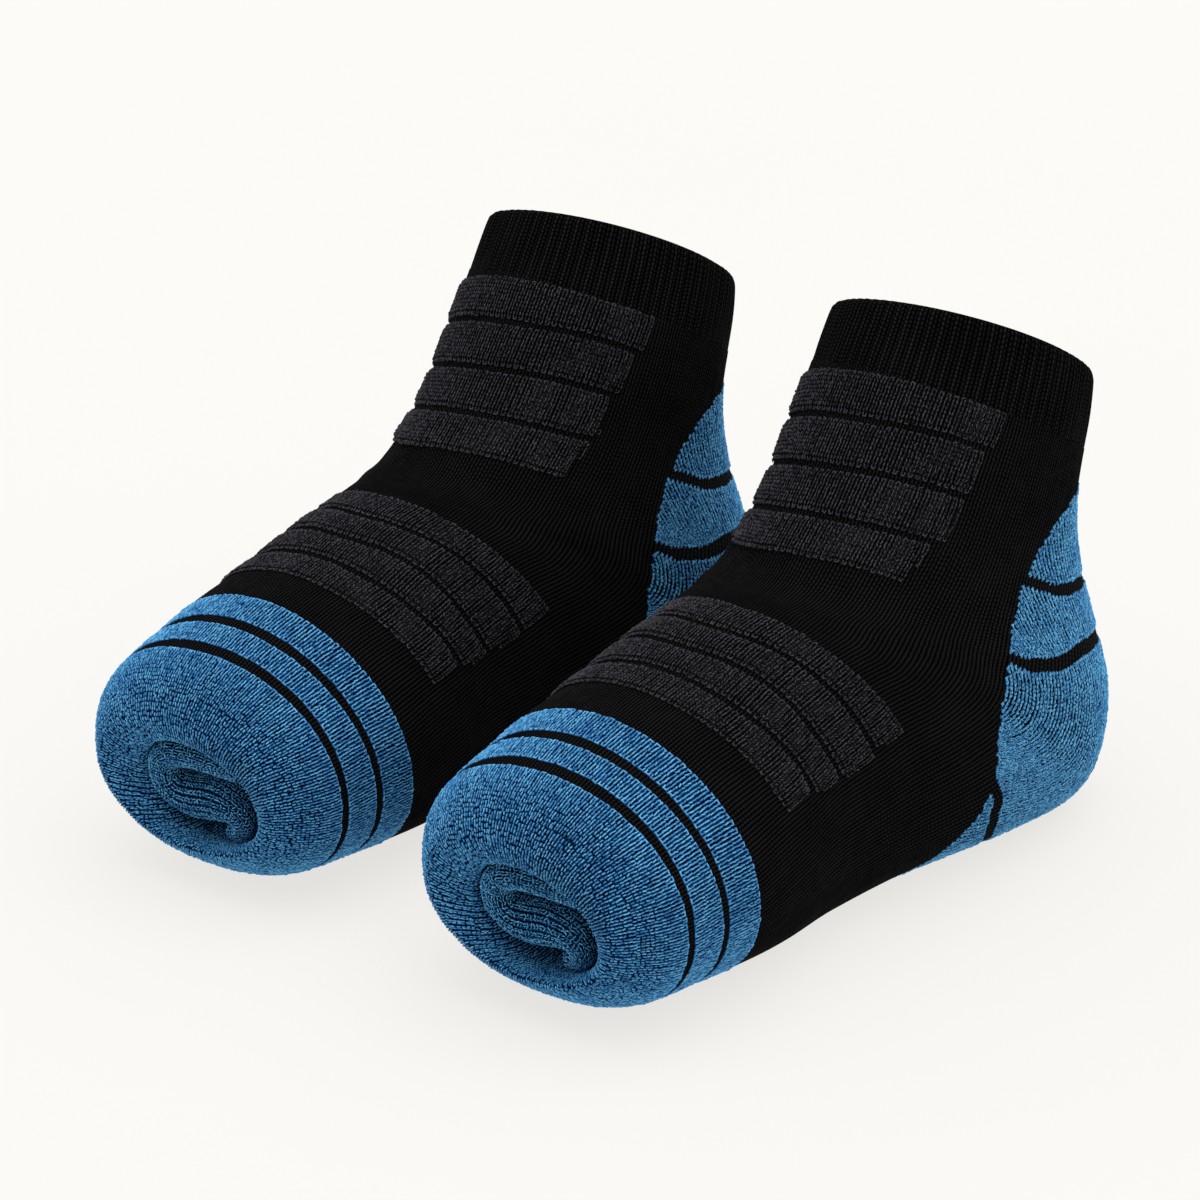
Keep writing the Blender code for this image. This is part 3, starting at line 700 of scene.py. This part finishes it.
def terry_chart(across, places, line):
    """Places of spots on the flattened cloth, from shares across it and the length of a line."""
    return np.stack((0.5 + across, np.interp(places, RING_PLACES, line) / TERRY_CHART), axis=-1)


def run_ends(spots, keep):
    """For the kept spots, whether each is the first and the last of a run along its column."""
    same = spots[4][1:] == spots[4][:-1]
    before = np.append(False, keep[:-1] & same)
    after = np.append(keep[1:] & same, False)
    return ~before[keep], ~after[keep]


grey_terry = terry_finish("grey_terry_loops", GREY_PAINTED_SHADE, GREY_DEEP, GREY_YARN, 0.04)


def make_bands(sock):
    """The loops of the raised bands round the ankle and over the forefoot."""
    rng = np.random.default_rng(sock.seed + 2)
    pieces = []
    for name, panel, columns in (("ankle", PANELS[0], 42), ("forefoot", PANELS[1], 68)):
        lines = (np.arange(columns) + 0.5 - columns / 2) * WALE
        spots = []
        for band in range(panel.shape[1] - 1):

            def edges(places, turns):
                grooves = groove_places(panel, turns).T[band : band + 2]
                between = [np.interp(0.0, places - groove, places) for groove in grooves]
                return between, (GROOVE_HALF, GROOVE_HALF)

            reach = panel[:, band].min() - 0.05, panel[:, band + 1].max() + 0.05
            run = stitch_spots(*reach, lambda places: lines, COURSE, edges=edges)
            run[4] += len(spots) * len(lines)
            spots.append(run)
        spots = np.concatenate(spots, axis=1)
        place, turn = spots[:2]
        line = spots[4].astype(int) % len(lines)
        rise = band_rise(sock, place, turn)
        keep = rise > LEAST_RISE
        starts, ends = run_ends(spots, keep)
        spots, rise, line = spots[:, keep], rise[keep], line[keep]
        pitch = np.full(len(line), WALE)
        chart = terry_chart(lines[line] / TERRY_CHART, spots[0], TOP_LINE)
        at_spots = frames(spots, rise - BAND_SINK)
        piece = make_terry(
            f"{sock.side}_{name}_terry_bands", sock, at_spots, pitch, starts, ends, rng, grey_terry, chart
        )
        pieces.append(piece)
    return pieces


for sock in SOCKS:
    tube = make_leg_foot(sock)
    bands = make_bands(sock)

# ---------------------------------------------------------------------------------------------------
# Heels. A pocket of blue terry, deeper than the tube, is turned round the heel and joined to the black
# knit along a stepped edge. Two black stripes cross it behind the ankle, and a third its front corner.

# Each stripe: half its width, and its place at turns in degrees, where it dips at the side of the heel
Stripe = namedtuple("Stripe", "half_width turns places")
HEEL_STRIPES = (
    Stripe(2.15, (80, 88, 98, 104, 118, 132, 155, 180), (3.27, 3.33, 3.41, 3.4, 3.3, 3.2, 3.1, 3.06)),
    Stripe(2.45, (78, 86, 94, 106, 120, 136, 158, 180), (4.83, 4.92, 4.76, 4.42, 4.24, 4.15, 4.06, 4.0)),
    Stripe(2.2, (96, 106, 112, 124, 141, 180), (7.9, 8.0, 8.11, 8.2, 8.18, 8.15)),
)
HEEL_FIRST, HEEL_LAST = 1.5, 9.5
HEEL_HALF = 115.0  # the widest reach of the loops to either side of the middle of the back
STRIPE_SINK = 0.05  # the ground cloth lies this deep at a stripe, and TERRY_SINK deep under the loops
TERRY_SINK = 0.3
PRESSED_HEIGHT, PRESSED_NORMAL = 0.8, -0.75  # cloth lower than this and facing down is pressed flat
# Painted shade: the gap colour darkens the blue loops toward their roots.
BLUE_PAINTED_SHADE = (0.0003, 0.005, 0.018, 1.0)
BLUE_DEEP = (0.009, 0.13, 0.42, 1.0)
BLUE_BRIGHT = (0.17, 0.59, 1.0, 1.0)
# The blue ground cloth under the loops, darkened with painted shade as it lies among them; its stripes are
# black.
BLUE_GROUND_IN_PAINTED_SHADE = (0.004, 0.035, 0.1, 1.0)
blue_ground = knit_finish("blue_terry_ground_painted_shade", PAINTED_STITCH_SHADE, BLUE_GROUND_IN_PAINTED_SHADE, 0.0003, striped=True)
blue_terry = terry_finish("blue_terry_loops", BLUE_PAINTED_SHADE, BLUE_DEEP, BLUE_BRIGHT, 0.06)
# Painted shade, deeper on the heel: its loops darken more toward their roots.
HEEL_PAINTED_SHADE = (0.0001, 0.0025, 0.009, 1.0)
HEEL_LEGS_APART = 0.42  # the two legs of a loop lie close together here
# The heel's ground cloth, darker still with painted shade.
HEEL_GROUND_IN_PAINTED_SHADE = (0.0015, 0.016, 0.05, 1.0)
heel_ground = knit_finish("blue_heel_ground_painted_shade", PAINTED_STITCH_SHADE, HEEL_GROUND_IN_PAINTED_SHADE, 0.0003, striped=True)
heel_terry = terry_finish("blue_heel_loops", HEEL_PAINTED_SHADE, BLUE_DEEP, BLUE_BRIGHT, 0.08)


def along_from(place, turn, line):
    """How far a spot is along the sock from a line's place at that turn, in millimetres."""
    steps = 8
    points = [skin(line + (place - line) / steps * k, turn) for k in range(steps + 1)]
    return sum(np.linalg.norm(b - a, axis=-1) for a, b in zip(points, points[1:]))


def heel_stripe_place(stripe, turn):
    return np.interp(np.abs(turn), np.radians(stripe.turns), stripe.places)


def from_heel_stripe(place, turn):
    """How far spots are outside the nearest stripe of the heel."""
    away = []
    for stripe in HEEL_STRIPES:
        away.append(along_from(place, turn, heel_stripe_place(stripe, turn)) - stripe.half_width)
    return np.min(away, axis=0)


def off_the_floor(place, turn):
    """Whether spots of the sock aren't pressed flat under the sole, where the pile has no room."""
    return (skin(place, turn)[..., 2] > PRESSED_HEIGHT) | (outward(place, turn)[..., 2] > PRESSED_NORMAL)


def make_heel(sock):
    """The ground cloth of the heel pocket, with its stripes, and the terry loops that cover it."""
    places = tube_places()
    places = places[places < HEEL_LAST + 0.1]
    columns = WALES * WALE_POINTS
    wales = np.arange(columns) / WALE_POINTS - WALES / 2
    turns = turns_at(places, wale_distances(places, wales))
    grid = places[:, None] + np.zeros(columns)
    away = from_heel_stripe(grid, turns)
    points = moved_out(grid, turns, np.where(away < 0, -STRIPE_SINK, -TERRY_SINK))
    faces, rows, cols = grid_faces(*points.shape[:2], True)
    tube_points = tube_grid(sock, places)
    heel = in_heel(tube_points.reshape(-1, 3)[faces].mean(axis=1))
    chart, stitches = tube_corners(rows, cols, places)
    ground = make_piece(
        f"{sock.side}_heel_pocket", sock, points, faces[heel], heel_ground, chart[heel], stitches[heel],
        marks={"from_stripe": away.ravel()},
    )
    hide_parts(f"{sock.side}_heel")

    rng = np.random.default_rng(sock.seed + 3)
    count = int(HEEL_HALF / WALE)
    from_back = (np.arange(-count, count) + 0.5) * WALE

    def lines(places):
        halves = np.interp(places, RING_PLACES, HALF_RINGS)[:, None]
        return np.sign(from_back) * np.maximum(halves - np.abs(from_back), 0.01)

    bounds = (None, *HEEL_STRIPES, None)
    spots = []
    for above, below in zip(bounds, bounds[1:]):

        def edges(places, turns):
            between, margins = [HEEL_FIRST, HEEL_LAST], [0.0, 0.0]
            for end, stripe in enumerate((above, below)):
                if stripe:
                    between[end] = np.interp(0.0, places - heel_stripe_place(stripe, turns), places)
                    margins[end] = stripe.half_width
            return between, margins

        run = stitch_spots(HEEL_FIRST, HEEL_LAST, lines, COURSE, edges=edges)
        run[4] += len(spots) * len(from_back)
        spots.append(run)
    spots = np.concatenate(spots, axis=1)
    place, turn = spots[:2]
    keep = in_heel(skin(place, turn)) & (np.abs(turn) > 0.2) & off_the_floor(place, turn)
    starts, ends = run_ends(spots, keep)
    spots = spots[:, keep]
    line = spots[4].astype(int) % len(from_back)
    chart = terry_chart(from_back[line] / TERRY_CHART, spots[0], SIDE_LINE)
    level = np.zeros(len(line))
    piece = make_terry(
        f"{sock.side}_heel_terry_loops", sock, frames(spots, level), level + WALE, starts, ends, rng,
        heel_terry, chart, stretch=1.15, spread=0.3, apart=HEEL_LEGS_APART,
    )


for sock in SOCKS:
    make_heel(sock)

# ---------------------------------------------------------------------------------------------------
# Toes. A pocket of blue terry with two thin black stripes near its seam closes the front of the foot.
# Its end is turned in at a fat lip, and the cloth runs back inside as a short tunnel.

TOE_STRIPES = (13.05, 13.75)
TOE_LINES = 220
TUNNEL_END = 18.9
TOE_SPANS = (TOE_SEAM, 14.0, 26), (14.15, TUNNEL_END, 32)  # rows of the ground cloth
TOE_CROWD = 1.12  # the loops are fatter here, with narrower gaps
# Painted shade, lighter on the toe: its loops darken less toward their roots than elsewhere.
TOE_PAINTED_SHADE = (0.0015, 0.02, 0.07, 1.0)
toe_terry = terry_finish("blue_toe_loops", TOE_PAINTED_SHADE, BLUE_DEEP, BLUE_BRIGHT, 0.06)
LOOPS_END = 18.3
SPOT_SHIFT = 0.3  # how far the loops of one column are moved along from the next's
NOSE_START, NOSE_BLEND = 13.9, 0.9  # from here on the loops grow shorter and less orderly
# Runs of terry along the toe: from and to a place, how many columns there are round it, and whether
# each end is an edge closed with arches
ToeRun = namedtuple("ToeRun", "first last wales first_is_edge last_is_edge")
TOE_RUNS = (
    ToeRun(TOE_SEAM, TOE_STRIPES[0], 124, True, True),
    ToeRun(*TOE_STRIPES, 124, True, True),
    ToeRun(TOE_STRIPES[1], 15.1, 124, True, False),
    ToeRun(15.1, 15.9, 98, False, False),
    ToeRun(15.9, 16.6, 80, False, False),
    ToeRun(16.6, LOOPS_END, 66, False, False),
)


def stripe_half(turn):
    """Half a toe stripe's width: wider over the top."""
    return 1.25 + 0.4 * np.clip(np.cos(turn), 0.0, 1.0) ** 2


def from_toe_stripe(place, turn):
    """How far spots are outside the nearest stripe of the toe."""
    return np.min([along_from(place, turn, line) for line in TOE_STRIPES], axis=0) - stripe_half(turn)


def make_toe(sock):
    """The ground cloth of the toe pocket, with its stripes, and the terry loops that cover it."""
    places = np.concatenate([np.linspace(*span) for span in TOE_SPANS])
    columns = TOE_LINES
    shares = np.arange(columns) / columns * 2 - 1
    halves = np.interp(places, RING_PLACES, HALF_RINGS)
    turns = turns_at(places, halves[:, None] * shares)
    grid = places[:, None] + np.zeros(columns)
    away = from_toe_stripe(grid, turns)
    points = moved_out(grid, turns, np.where(away < 0, -STRIPE_SINK, -TERRY_SINK))
    faces, rows, cols = grid_faces(*points.shape[:2], True)
    along = np.interp(places, RING_PLACES, SIDE_LINE)[rows]
    stitches = np.stack((cols.astype(float), along / COURSE), axis=-1)
    chart = np.stack((cols / columns, (along - along.min()) / TERRY_CHART), axis=-1)
    ground = make_piece(
        f"{sock.side}_toe_pocket", sock, points, faces, blue_ground, chart, stitches,
        marks={"from_stripe": away.ravel()},
    )
    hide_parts(f"{sock.side}_toe")

    rng = np.random.default_rng(sock.seed + 4)
    parts, reach = [], []
    for run in TOE_RUNS:
        shares = (np.arange(run.wales) + 0.5) / run.wales * 2 - 1

        def lines(places):
            return np.interp(places, RING_PLACES, HALF_RINGS)[:, None] * shares

        def edges(places, turns):
            half = stripe_half(turns[len(turns) // 2])
            ends = run.first, run.last
            return ends, [half * (end in TOE_STRIPES) for end in ends]

        offsets = rng.uniform(-SPOT_SHIFT, SPOT_SHIFT, run.wales)
        loose = 1.0 - run.first_is_edge, 1.0 - run.last_is_edge
        spots = stitch_spots(run.first, run.last, lines, COURSE, offsets, edges, loose)
        keep = off_the_floor(*spots[:2])
        starts, ends = run_ends(spots, np.ones(spots.shape[1], bool))
        spots = spots[:, keep]
        pitch = 2 * np.interp(spots[0], RING_PLACES, HALF_RINGS) / run.wales
        line = spots[4].astype(int)
        chart = terry_chart(shares[line] / 2, spots[0], SIDE_LINE) - (0.0, 0.5)
        edge = starts[keep] & run.first_is_edge, ends[keep] & run.last_is_edge
        parts.append((*frames(spots, np.zeros(len(pitch))), pitch, *edge, chart))
        reach.append(spots[0])
    *frame, pitch, starts, ends, chart = (np.concatenate(part) for part in zip(*parts))
    nose = np.clip((np.concatenate(reach) - NOSE_START) / NOSE_BLEND, 0.0, 1.0)
    piece = make_terry(
        f"{sock.side}_toe_terry_loops", sock, frame, pitch * TOE_CROWD, starts, ends, rng, toe_terry, chart,
        stretch=1.25 - 0.25 * nose, spread=0.07 + 0.05 * nose, scatter=0.06 + 0.07 * nose,
    )


for sock in SOCKS:
    make_toe(sock)

# ---------------------------------------------------------------------------------------------------
# Rolled toe ends. The last of each toe is doubled and rolled up in the mouth: a thick fold of the same
# blue terry that runs in from the upper right, turns at the left and ends in a small curl.

# A point of the fold's path: across and up the mouth and out of it, and half the fold's thickness
RollPoint = namedtuple("RollPoint", "across up depth half_thickness")
ROLL = (
    RollPoint(11.6, 6.6, 2.4, 2.5),
    RollPoint(5.0, 8.3, 1.3, 3.5),
    RollPoint(-2.0, 9.3, 0.4, 3.8),
    RollPoint(-8.4, 8.4, -0.4, 3.7),
    RollPoint(-12.2, 4.4, -1.1, 3.7),
    RollPoint(-12.4, -0.9, -1.7, 4.1),
    RollPoint(-8.9, -4.4, -2.1, 4.7),
    RollPoint(-3.2, -4.6, -2.3, 5.2),
    RollPoint(2.8, -3.5, -2.1, 5.1),
    RollPoint(8.0, -3.8, -1.8, 4.1),
    RollPoint(10.5, -7.1, -1.4, 3.2),
    RollPoint(9.0, -10.8, -1.1, 2.6),
    RollPoint(5.3, -12.3, -0.8, 2.2),
)
MOUTH_ROW = 17
ROLL_DEPTH = 13.0
ROLL_WALE = 1.45
ROLL_CHART = 110.0
ROLL_STITCHES = (40, 90)
ROLL_NOSE = 0.8  # how far the rounded front stands out, in half thicknesses


def roll_surface(sock, steps):
    """Points round the fold at each step of its path: back to front on one side, and back again."""
    top_f, top_z, sole_f, sole_z = FORM[MOUTH_ROW, :4]
    centre = np.array((0.0, FOOT_MIDDLE - (top_f + sole_f) / 2, (top_z + sole_z) / 2))
    up = unit(np.array((0.0, sole_f - top_f, top_z - sole_z)))
    across = np.array((1.0, 0.0, 0.0))
    inward = np.cross(up, across)
    rows = np.array(ROLL)
    path = smooth_rows(rows, steps)
    along = unit(smooth_rows(rows, steps + 0.01)[:, :2] - smooth_rows(rows, steps - 0.01)[:, :2])
    beside = np.stack((-along[:, 1], along[:, 0]), axis=1)
    section = [(1.0, None, share) for share in np.linspace(0.0, 0.86, 7)]
    section += [(np.cos(a), a, 0.0) for a in np.radians(np.linspace(0, 180, 9))]
    section += [(-1.0, None, share) for share in np.linspace(0.86, 0.0, 7)]
    rings = []
    for half, angle, share in section:
        nose = path[:, 3] * ROLL_NOSE
        front = path[:, 2] + nose
        depth = ROLL_DEPTH + (front - ROLL_DEPTH) * share if angle is None else front - nose * np.sin(angle)
        flat = path[:, :2] + beside * (half * path[:, 3])[:, None]
        flat = flat * (sock.roll_width, 1.0) + (sock.roll_across, -sock.roll_drop)
        rings.append(centre + flat[:, :1] * across + flat[:, 1:] * up + depth[:, None] * inward)
    return np.stack(rings, axis=1)


def make_roll(sock):
    """The fold's ground cloth and the terry loops along it."""
    steps = np.linspace(0.0, len(ROLL) - 1.0, 97)
    points = roll_surface(sock, steps)
    faces, rows, cols = grid_faces(*points.shape[:2], False)
    chart = np.stack((cols / points.shape[1], rows / len(steps)), axis=-1)
    ground = make_piece(
        f"{sock.side}_rolled_toe_end", sock, points, faces[:, ::-1], blue_ground,
        chart[:, ::-1], (chart * ROLL_STITCHES)[:, ::-1],
    )
    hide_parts(f"{sock.side}_toe_roll")

    rng = np.random.default_rng(sock.seed + 5)
    lengths = np.append(0.0, np.cumsum(np.linalg.norm(np.diff(points, axis=1), axis=2).mean(axis=0)))
    spots = []
    for line in np.arange(lengths[-1] * 0.04, lengths[-1] * 0.97, ROLL_WALE):
        column = np.interp(line, lengths, np.arange(points.shape[1]))
        near = min(int(column), points.shape[1] - 2)
        curve = points[:, near] + (points[:, near + 1] - points[:, near]) * (column - near)
        side = points[:, near + 1] - points[:, near]
        run = run_lengths(curve)
        at = np.arange(rng.uniform(0.2, 0.7), run[-1], COURSE)
        row = np.interp(at, run, np.arange(len(curve)))
        low = np.minimum(row.astype(int), len(curve) - 2)
        share = (row - low)[:, None]
        base = curve[low] * (1 - share) + curve[low + 1] * share
        along = unit(curve[low + 1] - curve[low])
        out = unit(np.cross(side[low], along))
        counted = np.stack((np.full(len(at), line), at), axis=-1)
        spots.append((base, along, unit(np.cross(out, along)), out, counted))
    *frame, spot = (np.concatenate(part) for part in zip(*spots))
    none = np.zeros(len(spot), bool)
    piece = make_terry(
        f"{sock.side}_roll_terry_loops", sock, frame, none + ROLL_WALE, none, none, rng, blue_terry,
        spot / ROLL_CHART, stretch=1.1, spread=0.7,
    )


for sock in SOCKS:
    make_roll(sock)

# ---------------------------------------------------------------------------------------------------
# The floor, pale and given a painted glow that keeps the shadows on it faint, the light and the camera
FLOOR_HALF = 6.0
FLOOR_COLOURS = (0.12, 0.118, 0.114, 1.0), (0.13, 0.128, 0.124, 1.0)
# Painted glow: the floor gives off light of its own, which keeps the shadows on it faint and lights the socks
# from below.
FLOOR_PAINTED_GLOW = (1.0, 0.983, 0.95, 1.0)
FLOOR_PAINTED_GLOW_STRENGTH = 0.75


def make_floor():
    corners = [(x * FLOOR_HALF, y * FLOOR_HALF, 0.0) for x, y in ((-1, -1), (1, -1), (1, 1), (-1, 1))]
    mesh = bpy.data.meshes.new("floor")
    mesh.from_pydata(corners, [], [(0, 1, 2, 3)])
    floor = bpy.data.objects.new("floor", mesh)
    bpy.context.scene.collection.objects.link(floor)
    nodes = Nodes("white_floor_painted_glow")
    shade = nodes.noise(nodes.object_place(), 3.0, 2.0)
    nodes.link(nodes.mix(shade, *FLOOR_COLOURS), "Base Color")
    # Painted glow: the floor emits light though it is no lamp.
    nodes.shader.inputs["Emission Color"].default_value = FLOOR_PAINTED_GLOW
    nodes.shader.inputs["Emission Strength"].default_value = FLOOR_PAINTED_GLOW_STRENGTH
    nodes.shader.inputs["Roughness"].default_value = 0.9
    nodes.shader.inputs["Specular IOR Level"].default_value = 0.1
    mesh.materials.append(nodes.material)


def make_light(name, target_to_light, strength, softness):
    """A distant soft light."""
    lamp = bpy.data.lights.new(name, "SUN")
    lamp.energy = strength
    lamp.angle = np.radians(softness)
    light = bpy.data.objects.new(name, lamp)
    light.rotation_euler = Vector(target_to_light).to_track_quat("Z", "Y").to_euler()
    light.location = Vector(target_to_light)
    bpy.context.scene.collection.objects.link(light)


CAMERA_AZIMUTH, CAMERA_ELEVATION = 38.5, 22.0
CAMERA_AIM = (0.0, 0.0019, 0.0)
CAMERA_RIGHT, CAMERA_UP, CAMERA_AWAY = -0.00605, 0.05585, 1.2
FILM_WIDTH = 36.0
LENS_PIXELS, IMAGE_PIXELS = 4702.0, 1200.0  # the lens's length and the image's width, in pixels


def make_camera():
    """The view from above the toes and a little to the right."""
    azimuth, elevation = np.radians(CAMERA_AZIMUTH), np.radians(CAMERA_ELEVATION)
    level = np.cos(elevation)
    back = Vector((np.sin(azimuth) * level, -np.cos(azimuth) * level, np.sin(elevation)))
    right = Vector((np.cos(azimuth), np.sin(azimuth), 0.0))
    up = back.cross(right)
    lens = bpy.data.cameras.new("camera")
    lens.sensor_width = FILM_WIDTH
    lens.lens = LENS_PIXELS / IMAGE_PIXELS * FILM_WIDTH
    lens.clip_start, lens.clip_end = 0.05, 50.0
    camera = bpy.data.objects.new("camera", lens)
    place = right * CAMERA_RIGHT + up * CAMERA_UP + back * CAMERA_AWAY + Vector(CAMERA_AIM)
    turn = Matrix((right, up, back)).transposed().to_4x4()
    camera.matrix_world = Matrix.Translation(place) @ turn
    bpy.context.scene.collection.objects.link(camera)
    bpy.context.scene.camera = camera


make_floor()
make_light("key", (0.4, -0.1, 1.4), 2.0, 75.0)
make_camera()
world = bpy.data.worlds.new("studio")
world.use_nodes = True
world.node_tree.nodes["Background"].inputs[0].default_value = (1.0, 0.995, 0.985, 1.0)
world.node_tree.nodes["Background"].inputs[1].default_value = 1.1
bpy.context.scene.world = world
bpy.context.scene.view_settings.view_transform = "Standard"
